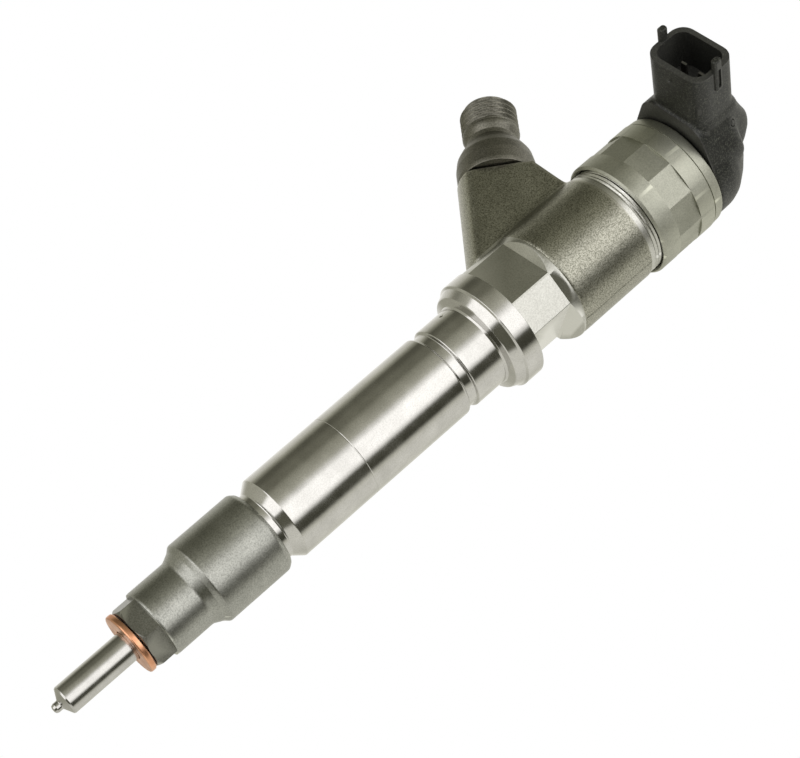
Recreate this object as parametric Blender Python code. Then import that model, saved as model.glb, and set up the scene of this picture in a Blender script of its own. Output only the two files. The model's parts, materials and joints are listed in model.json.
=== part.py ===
"""Solenoid-operated common-rail diesel fuel injector, modelled as the separate pieces it comes apart into.

World frame: metres, +Z along the injector's axis from the nozzle's tip to the head. The origin is the
centre of the small flat at the nozzle's tip. +X is the side to which the fuel inlet leans.
The functions below take millimetres, and new_object() turns them into metres.
"""

import math

import bmesh
import bpy
from mathutils import Matrix, Vector

MM = 0.001
GAP = 0.3                    # clearance left between neighbours that touch on the real object
FINE = 32                    # sides of a large turned piece
SMALL = 16                   # sides of a small turned piece

# Heights along the axis, from the nozzle's tip
Z_SEAT = 20.4                # cylinder-head seat: lower face of the sealing washer
Z_NUT = 22.2                 # lower end of the nozzle nut, on top of the washer
Z_SPLIT = 45.0               # joint face between the nozzle body and the holder
Z_NUT_TOP = 58.1
Z_BARREL = 62.1
Z_BARREL_TOP = 111.5
Z_GROOVE_TOP = 114.1
Z_COLLAR = 125.5
Z_FLATS = 130.7
Z_FLATS_TOP = 142.1
Z_FORGING = 144.4
Z_THREAD = 166.1
Z_HEAD_NUT = 169.3
Z_HEAD_NUT_TOP = 189.4
Z_CAP = Z_HEAD_NUT_TOP + GAP
Z_INLET = 136.4              # where the inlet's axis crosses the injector's axis

# Radii of the outside
R_SHANK = 3.5
R_WASHER = 7.5
R_NUT_NECK = 8.35
R_NUT = 10.45
R_BARREL = 10.5
R_COLLAR = 14.2
R_FORGING = 14.3
R_THREAD = 14.0
R_HEAD_NUT = 15.3
R_CAP = 14.5

# Bores of the holder, from the bottom up
R_SPRING_CHAMBER = 3.4
Z_SPRING_CHAMBER_TOP = 68.3
R_ROD_BORE = 2.2
Z_VALVE_POCKET = 144.0
R_VALVE_POCKET = 4.4
Z_VALVE_SEAT = 157.0
R_CLAMP_THREAD = 8.8
Z_ARMATURE_CAVITY = 165.0
R_ARMATURE_CAVITY = 9.9
Z_HOLDER_TOP = 177.0

# Fuel inlet: a screwed-in stud on a leaning boss
INLET_LEAN = math.radians(51.6)      # from +Z towards +X
INLET_SEAM = 36.9                    # boss end, measured along the inlet's axis
INLET_COLLAR_TOP = 41.4                # where the collar starts to round over towards the neck
INLET_NECK = 48.8
INLET_THREAD = 52.4
INLET_END = 60.2
R_INLET_COLLAR = 9.6
R_INLET_NECK = 6.2
R_INLET_THREAD = 7.0
R_INLET_STEM = 5.0
INLET_STEM_END = 22.0
INLET_BOSS = 8.0                       # where the round boss starts inside the holder, along the inlet's axis
BOSS_HALF_THICKNESS = 7.5              # axis to the flat side of the boss
WEB_HALF_THICKNESS = 6.8               # the same for the web between the boss and the thread

# Wrench flats: direction of each flat's normal about +Z in degrees, and its distance from the axis
WRENCH_FLATS = ((84.0, 11.9), (134.0, 13.3), (199.0, 9.4), (270.0, 11.9))

# Electrical connector
CONNECTOR_REACH = 32.6               # axis to the opening's rim, towards +Y
CONNECTOR_X = 0.8                    # the shroud stands a little to the inlet's side
CONNECTOR_Z = 196.8
OPENING = (13.8, 9.9)                # across, along the injector
SHROUD = (16.4, 12.8)
SHROUD_ROOT = 19.0                   # where the plug shroud grows out of the neck
LUG_REACH = 36.3                     # tips of the two latch lugs
Z_DOME_TOP = 206.2
Z_HUMP_TOP = 207.6
TERMINAL_X = 2.6                     # the two terminals stand at this distance left and right of the middle
TERMINAL_Y = 5.0

NEEDLE_R = 2.0
PLATE_Z = 176.4                      # lower face of the armature plate
CORE_Z = 178.6                       # lower face of the magnet core

MATERIALS = {
    "ground_steel": ((0.62, 0.61, 0.59), 0.22, 1.0),
    "nut_steel": ((0.34, 0.33, 0.30), 0.42, 1.0),
    "forged_steel": ((0.30, 0.29, 0.25), 0.55, 1.0),
    "phosphated_steel": ((0.22, 0.22, 0.20), 0.55, 1.0),
    "plated_steel": ((0.42, 0.42, 0.37), 0.40, 1.0),
    "spring_steel": ((0.38, 0.38, 0.40), 0.35, 1.0),
    "hardened_steel": ((0.55, 0.56, 0.58), 0.25, 1.0),
    "copper": ((0.72, 0.36, 0.24), 0.35, 1.0),
    "magnet_iron": ((0.25, 0.25, 0.26), 0.55, 0.8),
    "black_plastic": ((0.025, 0.025, 0.027), 0.55, 0.0),
    "bobbin_plastic": ((0.32, 0.24, 0.12), 0.50, 0.0),
    "seal_rubber": ((0.03, 0.03, 0.03), 0.70, 0.0),
    "terminal_tin": ((0.70, 0.70, 0.68), 0.30, 1.0),
}


def clear_scene():
    for old in list(bpy.data.objects):
        bpy.data.objects.remove(old, do_unlink=True)


def material(slot):
    """The Principled material of one slot, made once."""
    made = bpy.data.materials.get(slot)
    if made:
        return made
    colour, roughness, metallic = MATERIALS[slot]
    made = bpy.data.materials.new(slot)
    made.use_nodes = True
    shader = made.node_tree.nodes["Principled BSDF"]
    shader.inputs["Base Color"].default_value = (*colour, 1.0)
    shader.inputs["Roughness"].default_value = roughness
    shader.inputs["Metallic"].default_value = metallic
    return made


def new_object(name, bm, slot=None):
    """Makes an object from a bmesh held in millimetres; without a slot it is a cutter or an operand."""
    bmesh.ops.remove_doubles(bm, verts=bm.verts, dist=0.0005)
    bmesh.ops.dissolve_degenerate(bm, edges=bm.edges, dist=0.0005)
    bmesh.ops.recalc_face_normals(bm, faces=bm.faces)
    bmesh.ops.scale(bm, vec=(MM, MM, MM), verts=bm.verts)
    mesh = bpy.data.meshes.new(name)
    bm.to_mesh(mesh)
    bm.free()
    made = bpy.data.objects.new(name, mesh)
    bpy.context.scene.collection.objects.link(made)
    if slot:
        mesh.materials.append(material(slot))
        mesh.shade_smooth()
        mesh.set_sharp_from_angle(angle=math.radians(32.0))
    else:
        made.hide_render = True
        made.display_type = "WIRE"
    return made


def boolean(target, other, operation):
    step = target.modifiers.new(operation.lower(), "BOOLEAN")
    step.operation = operation
    step.solver = "EXACT"
    step.object = other


def cut(target, cutter):
    boolean(target, cutter, "DIFFERENCE")


def join(target, other):
    boolean(target, other, "UNION")


def turned_mesh(outline, sides):
    """A bmesh of the outline (radius, height) turned about +Z. Its ends on the axis close it, or it is a loop."""
    bm = bmesh.new()
    points = [bm.verts.new((radius, 0.0, height)) for radius, height in outline]
    on_axis = outline[0][0] == 0.0 and outline[-1][0] == 0.0
    ends = points[1:] if on_axis else points[1:] + points[:1]
    edges = [bm.edges.new(pair) for pair in zip(points, ends)]
    bmesh.ops.spin(
        bm,
        geom=points + edges,
        axis=(0.0, 0.0, 1.0),
        cent=(0.0, 0.0, 0.0),
        angle=math.tau,
        steps=sides,
        use_merge=True,
    )
    return bm


def turned(name, outline, slot=None, sides=SMALL):
    return new_object(name, turned_mesh(outline, sides), slot)


def ring(name, inner, outer, low, high, slot=None, sides=SMALL):
    """A plain ring or tube."""
    return turned(name, [(inner, low), (outer, low), (outer, high), (inner, high)], slot, sides)


def rod(name, radius, low, high, slot=None, sides=SMALL):
    return turned(name, [(0.0, low), (radius, low), (radius, high), (0.0, high)], slot, sides)


def drill(target, radius, start, end, sides=8):
    """Cuts a straight round hole of this radius from start to end, both in millimetres."""
    start, end = Vector(start), Vector(end)
    hole = rod(f"{target.name}_drill", radius, 0.0, (end - start).length, sides=sides)
    turn = (end - start).to_track_quat("Z", "Y").to_matrix().to_4x4()
    hole.matrix_world = Matrix.Translation(start * MM) @ turn
    cut(target, hole)


def prism_mesh(corners, low, high):
    """A bmesh of a flat outline (x, y) extruded from low to high."""
    bm = bmesh.new()
    bottom = bm.faces.new([bm.verts.new((x, y, low)) for x, y in corners])
    raised = bmesh.ops.extrude_face_region(bm, geom=[bottom])["geom"]
    top = [item for item in raised if isinstance(item, bmesh.types.BMVert)]
    bmesh.ops.translate(bm, verts=top, vec=(0.0, 0.0, high - low))
    return bm


def polygon(sides, apothem, phase=0.0):
    """Corners of a regular polygon whose first flat faces the phase angle."""
    radius = apothem / math.cos(math.pi / sides)
    angles = [phase + math.pi * (2 * step + 1) / sides for step in range(sides)]
    return [(radius * math.cos(angle), radius * math.sin(angle)) for angle in angles]


def die(name, sides, apothem, low, high, reach, phase=0.0):
    """A ring-shaped cutter with a polygonal hole: it leaves that many flats on a round piece."""
    block = new_object(name, prism_mesh(polygon(24, reach), low, high))
    core = new_object(f"{name}_core", prism_mesh(polygon(sides, apothem, phase), low - 1.0, high + 1.0))
    cut(block, core)
    return block


def coil(name, radius, wire, low, high, turns, slot, steps=12, wire_sides=6):
    """A helical spring of round wire whose whole height, wire included, runs from low to high."""
    bm = bmesh.new()
    count = int(turns * steps)
    climb = (high - low - 2.0 * wire) / count
    loops = []
    for step in range(count + 1):
        angle = math.tau * step / steps
        height = low + wire + climb * step
        loop = []
        for side in range(wire_sides):
            around = math.tau * side / wire_sides
            reach = radius + wire * math.cos(around)
            place = (reach * math.cos(angle), reach * math.sin(angle), height + wire * math.sin(around))
            loop.append(bm.verts.new(place))
        loops.append(loop)
    for lower, upper in zip(loops, loops[1:]):
        for side in range(wire_sides):
            after = (side + 1) % wire_sides
            bm.faces.new((lower[side], lower[after], upper[after], upper[side]))
    bm.faces.new(loops[0])
    bm.faces.new(loops[-1])
    return new_object(name, bm, slot)


def arc(radius, centre, start, end, steps):
    """Points of a circular arc in the (radius, height) plane, angles in degrees."""
    turn = math.radians(end - start) / steps
    first = math.radians(start)
    return [
        (centre[0] + radius * math.cos(first + turn * step), centre[1] + radius * math.sin(first + turn * step))
        for step in range(steps + 1)
    ]


# ---------------------------------------------------------------- nozzle


def build_nozzle_body():
    """Shank with a rounded nose, sac, needle seat, fuel gallery, guide bore and six spray holes."""
    collar_low = Z_NUT + 6.0
    gallery = collar_low + 1.6
    nose = [(0.45, 0.0), (0.9, 0.25), (1.15, 0.75), (1.15, 1.8)]
    outside = nose + [(R_SHANK - 0.2, 2.9), (R_SHANK, 3.2), (R_SHANK, collar_low), (6.9, collar_low)]
    inside = [
        (6.9, Z_SPLIT),
        (NEEDLE_R + 0.1, Z_SPLIT),
        (NEEDLE_R + 0.1, gallery + 4.0),
        (4.4, gallery + 3.2),
        (4.4, gallery + 0.6),
        (1.9, gallery),
        (1.9, 3.7),
        (0.45, 1.2),
        (0.45, 0.9),
    ]
    body = turned("nozzle_body", [(0.0, 0.0)] + outside + inside + [(0.0, 0.9)], "ground_steel", 24)
    drill(body, 0.7, (5.0, 0.0, gallery + 1.5), (5.0, 0.0, Z_SPLIT + 1.0))
    for side in (-1, 1):
        drill(body, 0.95, (0.0, 5.0 * side, Z_SPLIT - 3.2), (0.0, 5.0 * side, Z_SPLIT + 1.0))
    for hole in range(6):
        angle = math.tau * (hole + 0.5) / 6
        outer = (1.6 * math.cos(angle), 1.6 * math.sin(angle), 0.75)
        drill(body, 0.1, (0.0, 0.0, 1.3), outer, sides=6)


def build_needle():
    """Valve needle: seat cone, slim stem, thrust cone, guide and top stem."""
    gallery = Z_NUT + 7.6
    outline = [
        (0.0, 1.2),
        (0.12, 1.2),
        (1.5, 3.65),
        (1.5, gallery + 0.4),
        (NEEDLE_R, gallery + 2.6),
        (NEEDLE_R, Z_SPLIT - 0.6),
        (1.4, Z_SPLIT - 0.4),
        (1.4, Z_SPLIT + 1.6),
        (0.0, Z_SPLIT + 1.6),
    ]
    turned("nozzle_needle", outline, "hardened_steel", 24)


def build_nozzle_nut():
    """Union nut: hexagon at its lower end, small cylinder, shoulder, threaded large cylinder."""
    fillet = arc(2.6, (R_NUT_NECK + 2.6, Z_SEAT + 17.0), 180.0, 127.0, 3)
    outside = [
        (7.3, Z_NUT),
        (8.25, Z_NUT + 0.9),
        (8.25, Z_NUT + 4.5),
        (R_NUT_NECK, Z_NUT + 5.3),
        *fillet,
        (R_NUT - 0.35, Z_SEAT + 19.6),
        (R_NUT, Z_SEAT + 20.2),
        (R_NUT, Z_NUT_TOP - 1.3),
        (R_NUT - 0.4, Z_NUT_TOP - 0.4),
        (9.5, Z_NUT_TOP),
    ]
    inside = [
        (8.9, Z_NUT_TOP),
        (8.9, Z_SPLIT + 0.2),
        (7.2, Z_SPLIT - 0.6),
        (7.2, Z_NUT + 5.7),
        (R_SHANK + 0.25, Z_NUT + 5.2),
        (R_SHANK + 0.25, Z_NUT),
    ]
    nut = turned("nozzle_nut", outside + inside, "nut_steel", FINE)
    hexagon = die("nut_hexagon", 6, 7.15, Z_NUT - 1.0, Z_NUT + 4.8, 12.0, math.radians(99.2))
    cut(nut, hexagon)


def build_washer():
    bore = R_SHANK + 0.25
    low, high = Z_SEAT, Z_NUT - GAP
    outline = [
        (bore, low),
        (R_WASHER - 0.25, low),
        (R_WASHER, low + 0.25),
        (R_WASHER, high - 0.25),
        (R_WASHER - 0.25, high),
        (bore, high),
    ]
    turned("sealing_washer", outline, "copper", FINE)


def build_dowels():
    """Two pins that set the turn of the nozzle body against the holder."""
    for name, side in (("nozzle_dowel_a", -1), ("nozzle_dowel_b", 1)):
        pin = rod(name, 0.7, -2.8, 3.0, "hardened_steel", 8)
        pin.location = (0.0, 5.0 * side * MM, Z_SPLIT * MM)


def build_needle_spring_group():
    """Pressure pin on top of the needle, its closing spring, and the shim that sets the spring's load."""
    seat = Z_SPLIT + 1.9
    disc = [(0.0, seat), (3.0, seat), (3.0, seat + 1.4), (1.3, seat + 1.4), (1.3, seat + 6.0), (0.0, seat + 6.0)]
    turned("pressure_pin", disc, "hardened_steel")
    coil("nozzle_spring", 2.45, 0.42, seat + 1.7, Z_SPRING_CHAMBER_TOP - 1.8, 9, "spring_steel")
    ring("spring_shim", 1.85, 3.1, Z_SPRING_CHAMBER_TOP - 1.5, Z_SPRING_CHAMBER_TOP - GAP, "hardened_steel")


def build_control_rod():
    """Long rod from the pressure pin up into the valve body's control chamber."""
    low = Z_SPLIT + 8.2
    outline = [
        (0.0, low),
        (1.3, low),
        (1.3, Z_SPRING_CHAMBER_TOP + 2.0),
        (1.9, Z_SPRING_CHAMBER_TOP + 2.6),
        (1.9, Z_VALVE_POCKET + 5.5),
        (1.6, Z_VALVE_POCKET + 6.5),
        (0.0, Z_VALVE_POCKET + 6.5),
    ]
    turned("control_rod", outline, "hardened_steel")


# ---------------------------------------------------------------- holder


def holder_outline():
    """Outside of the holder as turned, from its bottom face to its top face."""
    threads = []
    crest = Z_HEAD_NUT - 0.3
    for ridge in range(3):
        top = crest - 0.9 * (2 - ridge)
        threads += [(R_THREAD - 0.35, top - 0.65), (R_THREAD, top - 0.35), (R_THREAD, top - 0.1)]
    return [
        (0.0, Z_SPLIT + GAP),
        (8.0, Z_SPLIT + GAP),
        (8.5, Z_SPLIT + 0.9),
        (8.5, Z_NUT_TOP + 1.7),
        (R_BARREL - 0.2, Z_BARREL - 0.3),
        (R_BARREL, Z_BARREL),
        (R_BARREL, Z_BARREL_TOP - 0.5),
        (R_BARREL - 0.5, Z_BARREL_TOP),
        (9.7, Z_BARREL_TOP + 0.3),
        (9.7, Z_GROOVE_TOP - 0.3),
        (R_BARREL, Z_GROOVE_TOP),
        (R_BARREL, Z_COLLAR - 2.0),
        (12.5, Z_COLLAR - 1.2),
        (R_COLLAR, Z_COLLAR),
        (R_COLLAR, Z_FLATS),
        (13.9, Z_FLATS + 0.1),
        (13.9, Z_FLATS_TOP),
        (R_FORGING, Z_FORGING),
        (R_FORGING, Z_THREAD),
        (R_THREAD, Z_THREAD + 0.2),
        *threads,
        (R_THREAD - 0.35, Z_HEAD_NUT),
        (R_THREAD - 0.35, Z_HOLDER_TOP),
        (0.0, Z_HOLDER_TOP),
    ]


def bore_outline():
    """The stepped bore right through the holder, as a cutter."""
    return [
        (0.0, Z_SPLIT - 1.0),
        (R_SPRING_CHAMBER, Z_SPLIT - 1.0),
        (R_SPRING_CHAMBER, Z_SPRING_CHAMBER_TOP),
        (R_ROD_BORE, Z_SPRING_CHAMBER_TOP),
        (R_ROD_BORE, Z_VALVE_POCKET),
        (R_VALVE_POCKET, Z_VALVE_POCKET),
        (R_VALVE_POCKET, Z_VALVE_SEAT),
        (R_CLAMP_THREAD, Z_VALVE_SEAT),
        (R_CLAMP_THREAD, Z_ARMATURE_CAVITY),
        (R_ARMATURE_CAVITY, Z_ARMATURE_CAVITY),
        (R_ARMATURE_CAVITY, Z_HOLDER_TOP + 1.0),
        (0.0, Z_HOLDER_TOP + 1.0),
    ]


def inlet_frame():
    """The turn and place that carry +Z onto the inlet's axis."""
    return Matrix.Translation((0.0, 0.0, Z_INLET * MM)) @ Matrix.Rotation(INLET_LEAN, 4, "Y")


def boss_mesh():
    """The forged boss about the inlet's axis (+Z here): a slightly tapered round bar with two flat sides."""
    outline = [
        (0.0, INLET_BOSS),
        (R_INLET_COLLAR + 0.7, INLET_BOSS),
        (R_INLET_COLLAR + 0.2, INLET_SEAM - GAP),
        (0.0, INLET_SEAM - GAP),
    ]
    bm = turned_mesh(outline, FINE)
    for vert in bm.verts:
        vert.co.y = max(-BOSS_HALF_THICKNESS, min(BOSS_HALF_THICKNESS, vert.co.y))
    return bm


def web_mesh():
    """The plate in the XZ plane that fills the corner between the boss and the thread's shoulder."""
    lean = Vector((math.sin(INLET_LEAN), math.cos(INLET_LEAN)))
    across = Vector((lean.y, -lean.x))
    foot = Vector((0.0, Z_INLET))
    end = foot + lean * (INLET_SEAM - GAP - 0.1)
    top = Z_THREAD - 0.1
    reach = end.x + across.x * (top - end.y) / across.y
    corners = [
        (8.0, Z_FLATS + 4.0),
        (13.0, Z_FLATS + 6.0),
        tuple(end),
        (reach, top),
        (8.0, top),
    ]
    bm = prism_mesh(corners, -WEB_HALF_THICKNESS, WEB_HALF_THICKNESS)
    bmesh.ops.rotate(bm, verts=bm.verts, matrix=Matrix.Rotation(math.radians(90.0), 3, "X"))
    return bm


def flat_cutter(index, azimuth, apothem):
    """A block that takes one wrench flat off the holder, down to the collar's ledge."""
    bm = prism_mesh([(apothem, -16.0), (24.0, -16.0), (24.0, 16.0), (apothem, 16.0)], Z_FLATS, Z_FLATS_TOP)
    bmesh.ops.rotate(bm, verts=bm.verts, matrix=Matrix.Rotation(math.radians(azimuth), 3, "Z"))
    return new_object(f"wrench_flat_{index}", bm)


def build_holder():
    holder = turned("holder_body", holder_outline(), "forged_steel", FINE)
    for index, (azimuth, apothem) in enumerate(WRENCH_FLATS):
        cut(holder, flat_cutter(index, azimuth, apothem))
    boss = new_object("inlet_boss", boss_mesh())
    boss.matrix_world = inlet_frame()
    join(holder, boss)
    join(holder, new_object("inlet_web", web_mesh()))
    cut(holder, turned("holder_bore", bore_outline(), sides=FINE))
    socket = turned(
        "inlet_socket",
        [
            (0.0, 7.5),
            (1.0, 7.5),
            (2.1, INLET_STEM_END - 1.5),
            (R_INLET_STEM + 0.3, INLET_STEM_END - 0.3),
            (R_INLET_STEM + 0.3, INLET_SEAM + 1.0),
            (0.0, INLET_SEAM + 1.0),
        ],
        sides=SMALL,
    )
    socket.matrix_world = inlet_frame()
    cut(holder, socket)
    drill(holder, 0.8, (6.4, 0.0, Z_SPLIT - 1.0), (6.4, 0.0, Z_INLET + 6.0))
    for side in (-1, 1):
        drill(holder, 0.95, (0.0, 5.0 * side, Z_SPLIT - 1.0), (0.0, 5.0 * side, Z_SPLIT + 3.4))


def build_inlet():
    """High-pressure stud: stem in the boss, collar, neck, M14 thread and a conical pipe seat."""
    outside = [
        (R_INLET_STEM, INLET_STEM_END),
        (R_INLET_STEM, INLET_SEAM + 0.1),
        (R_INLET_COLLAR - 0.3, INLET_SEAM + 0.1),
        (R_INLET_COLLAR, INLET_SEAM + 0.5),
        (R_INLET_COLLAR, INLET_COLLAR_TOP),
        (R_INLET_COLLAR - 0.45, INLET_COLLAR_TOP + 2.6),
        (R_INLET_COLLAR - 1.5, INLET_COLLAR_TOP + 4.6),
        (R_INLET_NECK + 0.6, INLET_NECK - 1.2),
        (R_INLET_NECK, INLET_NECK),
        (R_INLET_NECK, INLET_NECK + 1.2),
        (R_INLET_THREAD, INLET_THREAD),
        (R_INLET_THREAD, INLET_END - 0.9),
        (R_INLET_THREAD - 0.9, INLET_END),
    ]
    inside = [(4.2, INLET_END), (1.85, INLET_END - 4.0), (1.85, INLET_STEM_END)]
    stud = turned("inlet_stud", outside + inside, "phosphated_steel", FINE)
    stud.matrix_world = inlet_frame()
    outline = [
        (0.0, INLET_STEM_END + 2.0),
        (1.0, INLET_STEM_END + 2.0),
        (1.45, INLET_STEM_END + 3.0),
        (1.2, INLET_STEM_END + 6.0),
        (1.45, INLET_STEM_END + 9.0),
        (1.2, INLET_STEM_END + 13.0),
        (1.45, INLET_STEM_END + 17.0),
        (1.45, INLET_STEM_END + 26.0),
        (0.0, INLET_STEM_END + 26.0),
    ]
    edge_filter = turned("edge_filter", outline, "hardened_steel", 12)
    edge_filter.matrix_world = inlet_frame()


# ---------------------------------------------------------------- control valve


def build_valve_body():
    """Valve piece: control chamber over the rod, inlet throttle, outlet throttle and ball seat."""
    seat = Z_VALVE_SEAT + GAP
    outline = [
        (R_ROD_BORE + 0.05, Z_VALVE_POCKET + GAP),
        (3.2, Z_VALVE_POCKET + GAP),
        (3.2, Z_VALVE_POCKET + 3.6),
        (4.0, Z_VALVE_POCKET + 4.2),
        (4.0, seat),
        (6.9, seat),
        (6.9, seat + 2.8),
        (2.8, seat + 2.8),
        (1.8, seat + 4.6),
        (0.75, seat + 4.6),
        (0.3, seat + 4.2),
        (0.3, seat - 4.0),
        (R_ROD_BORE + 0.05, seat - 4.6),
    ]
    body = turned("valve_body", outline, "hardened_steel")
    drill(body, 0.25, (1.0, 0.0, seat - 5.2), (5.0, 0.0, seat - 5.2), sides=6)
    ring("valve_seal_ring", 3.45, 4.15, Z_VALVE_POCKET + 0.5, Z_VALVE_POCKET + 3.2, "bobbin_plastic")


def build_clamp_nut():
    """Threaded ring that clamps the valve body, with a hexagonal key bore."""
    low, high = Z_VALVE_SEAT + 3.4, Z_VALVE_SEAT + 7.4
    nut = rod("valve_clamp_nut", R_CLAMP_THREAD - 0.3, low, high, "hardened_steel", FINE)
    cut(nut, new_object("clamp_nut_key", prism_mesh(polygon(6, 4.2), low - 1.0, high + 1.0)))


def build_ball():
    """Control ball on the valve seat, and the cup that holds it."""
    radius = 0.675
    centre = Z_VALVE_SEAT + GAP + 4.6 + 0.75
    points = arc(radius, (0.0, 0.0), -90.0, 90.0, 6)
    points[0], points[-1] = (0.0, -radius), (0.0, radius)
    ball = turned("control_ball", points, "hardened_steel", 12)
    ball.location = (0.0, 0.0, centre * MM)
    low = centre + 0.1
    outline = [
        (0.0, centre + radius + 0.15),
        (0.5, centre + radius + 0.15),
        (0.85, low),
        (1.2, low),
        (1.2, low + 1.6),
        (0.0, low + 1.6),
    ]
    turned("ball_retainer", outline, "hardened_steel", 12)


def build_armature():
    """Guide, bolt, plate, crescent washer and over-travel spring under the magnet."""
    low = Z_ARMATURE_CAVITY + GAP
    outline = [
        (1.6, low),
        (9.5, low),
        (9.5, low + 2.6),
        (3.4, low + 2.6),
        (3.4, low + 5.6),
        (1.6, low + 5.6),
    ]
    guide = turned("armature_guide", outline, "hardened_steel")
    for hole in range(4):
        angle = math.tau * (hole + 0.5) / 4
        x, y = 6.4 * math.cos(angle), 6.4 * math.sin(angle)
        drill(guide, 1.0, (x, y, low - 1.0), (x, y, low + 4.0))
    bolt = [
        (0.0, low - 0.3),
        (1.45, low - 0.3),
        (1.45, PLATE_Z + 2.1),
        (1.15, PLATE_Z + 2.1),
        (1.15, PLATE_Z + 2.9),
        (2.4, PLATE_Z + 2.9),
        (2.4, PLATE_Z + 3.8),
        (0.0, PLATE_Z + 3.8),
    ]
    turned("armature_bolt", bolt, "hardened_steel")
    plate = ring("armature_plate", 1.65, 8.2, PLATE_Z, PLATE_Z + 1.8, "magnet_iron", 24)
    for slot_index in range(4):
        angle = math.tau * (slot_index + 0.5) / 4
        x, y = 5.6 * math.cos(angle), 5.6 * math.sin(angle)
        drill(plate, 0.9, (x, y, PLATE_Z - 1.0), (x, y, PLATE_Z + 3.0))
    clip = ring("armature_clip", 1.3, 2.4, PLATE_Z + 2.1 + 0.1, PLATE_Z + 2.8, "spring_steel", 24)
    mouth = prism_mesh([(0.0, -1.25), (4.0, -1.25), (4.0, 1.25), (0.0, 1.25)], PLATE_Z, PLATE_Z + 4.0)
    cut(clip, new_object("clip_mouth", mouth))
    coil("armature_return_spring", 2.5, 0.3, low + 5.9, PLATE_Z - GAP, 3, "spring_steel", steps=14)


# ---------------------------------------------------------------- magnet


def build_magnet():
    """Steel housing, pot core, bobbin with its winding, and the valve spring under its shim."""
    shelf = Z_HOLDER_TOP + GAP
    ring("lift_shim", 11.4, 13.0, shelf, shelf + 0.8, "hardened_steel", FINE)
    housing_low = shelf + 1.1
    housing = [
        (9.8, housing_low),
        (12.9, housing_low),
        (12.9, housing_low + 3.0),
        (11.0, housing_low + 3.0),
        (11.0, Z_HEAD_NUT_TOP + 1.2),
        (1.2, Z_HEAD_NUT_TOP + 1.2),
        (1.2, Z_HEAD_NUT_TOP - 0.8),
        (9.8, Z_HEAD_NUT_TOP - 0.8),
    ]
    can = turned("solenoid_housing", housing, "plated_steel", FINE)
    profile = arc(0.45, (10.7, shelf + 0.5), 0.0, 360.0, 8)[:-1]
    turned("magnet_o_ring", profile, "seal_rubber", 24)
    top = Z_HEAD_NUT_TOP - 1.1
    outline = [
        (3.2, CORE_Z),
        (4.4, CORE_Z),
        (4.4, CORE_Z + 8.0),
        (7.4, CORE_Z + 8.0),
        (7.4, CORE_Z),
        (9.4, CORE_Z),
        (9.4, top),
        (3.2, top),
    ]
    core = turned("magnet_core", outline, "magnet_iron", FINE)
    low, high = CORE_Z + 0.7, CORE_Z + 7.7
    bobbin = [
        (4.65, low),
        (7.1, low),
        (7.1, low + 0.6),
        (5.2, low + 0.6),
        (5.2, high - 0.6),
        (7.1, high - 0.6),
        (7.1, high),
        (4.65, high),
    ]
    turned("coil_bobbin", bobbin, "bobbin_plastic", 24)
    ring("coil_winding", 5.4, 6.9, low + 0.8, high - 0.8, "copper", 24)
    for side in (-1, 1):
        x, y = TERMINAL_X * side, TERMINAL_Y
        drill(core, 1.5, (x, y, CORE_Z + 7.0), (x, y, top + 1.0))
        drill(can, 1.5, (x, y, top - 1.0), (x, y, top + 4.0))
    coil("solenoid_spring", 1.9, 0.4, PLATE_Z + 4.1, top - 1.3, 4, "spring_steel")
    ring("spring_adjust_shim", 0.8, 2.9, top - 1.0, top, "hardened_steel")


def build_head_nut():
    """Nut that holds the magnet on the holder: twelve flats on a round body, captive under the cap."""
    low, high = Z_HEAD_NUT, Z_HEAD_NUT_TOP
    outline = [
        (R_THREAD + 0.25, low),
        (R_HEAD_NUT - 0.5, low),
        (R_HEAD_NUT, low + 0.5),
        (R_HEAD_NUT, high - 2.8),
        (R_HEAD_NUT - 0.3, high - 0.4),
        (R_HEAD_NUT - 0.6, high),
        (11.3, high),
        (11.3, Z_HOLDER_TOP + 4.7),
        (13.2, Z_HOLDER_TOP + 4.7),
        (13.2, Z_HOLDER_TOP + 0.8),
        (R_THREAD + 0.25, Z_HOLDER_TOP + 0.4),
    ]
    nut = turned("solenoid_nut", outline, "plated_steel", 48)
    cut(nut, die("nut_flats", 12, 14.8, low + 5.3, low + 12.4, 20.0, math.radians(98.7)))


# ---------------------------------------------------------------- cap and connector


def connector_frame():
    """+Z along the connector's axis (world +Y) from its rim, +X across the opening."""
    aim = Matrix(((1.0, 0.0, 0.0), (0.0, 0.0, 1.0), (0.0, -1.0, 0.0))).to_4x4()
    return Matrix.Translation((CONNECTOR_X * MM, CONNECTOR_REACH * MM, CONNECTOR_Z * MM)) @ aim


def rounded_box(width, depth, corner, low, high, steps=3):
    """A bmesh of a box with rounded upright edges."""
    corners = []
    for quarter, (sx, sy) in enumerate(((1, 1), (-1, 1), (-1, -1), (1, -1))):
        centre = (sx * (width / 2 - corner), sy * (depth / 2 - corner))
        corners += arc(corner, centre, 90.0 * quarter, 90.0 * quarter + 90.0, steps)
    return prism_mesh(corners, low, high)


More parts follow.
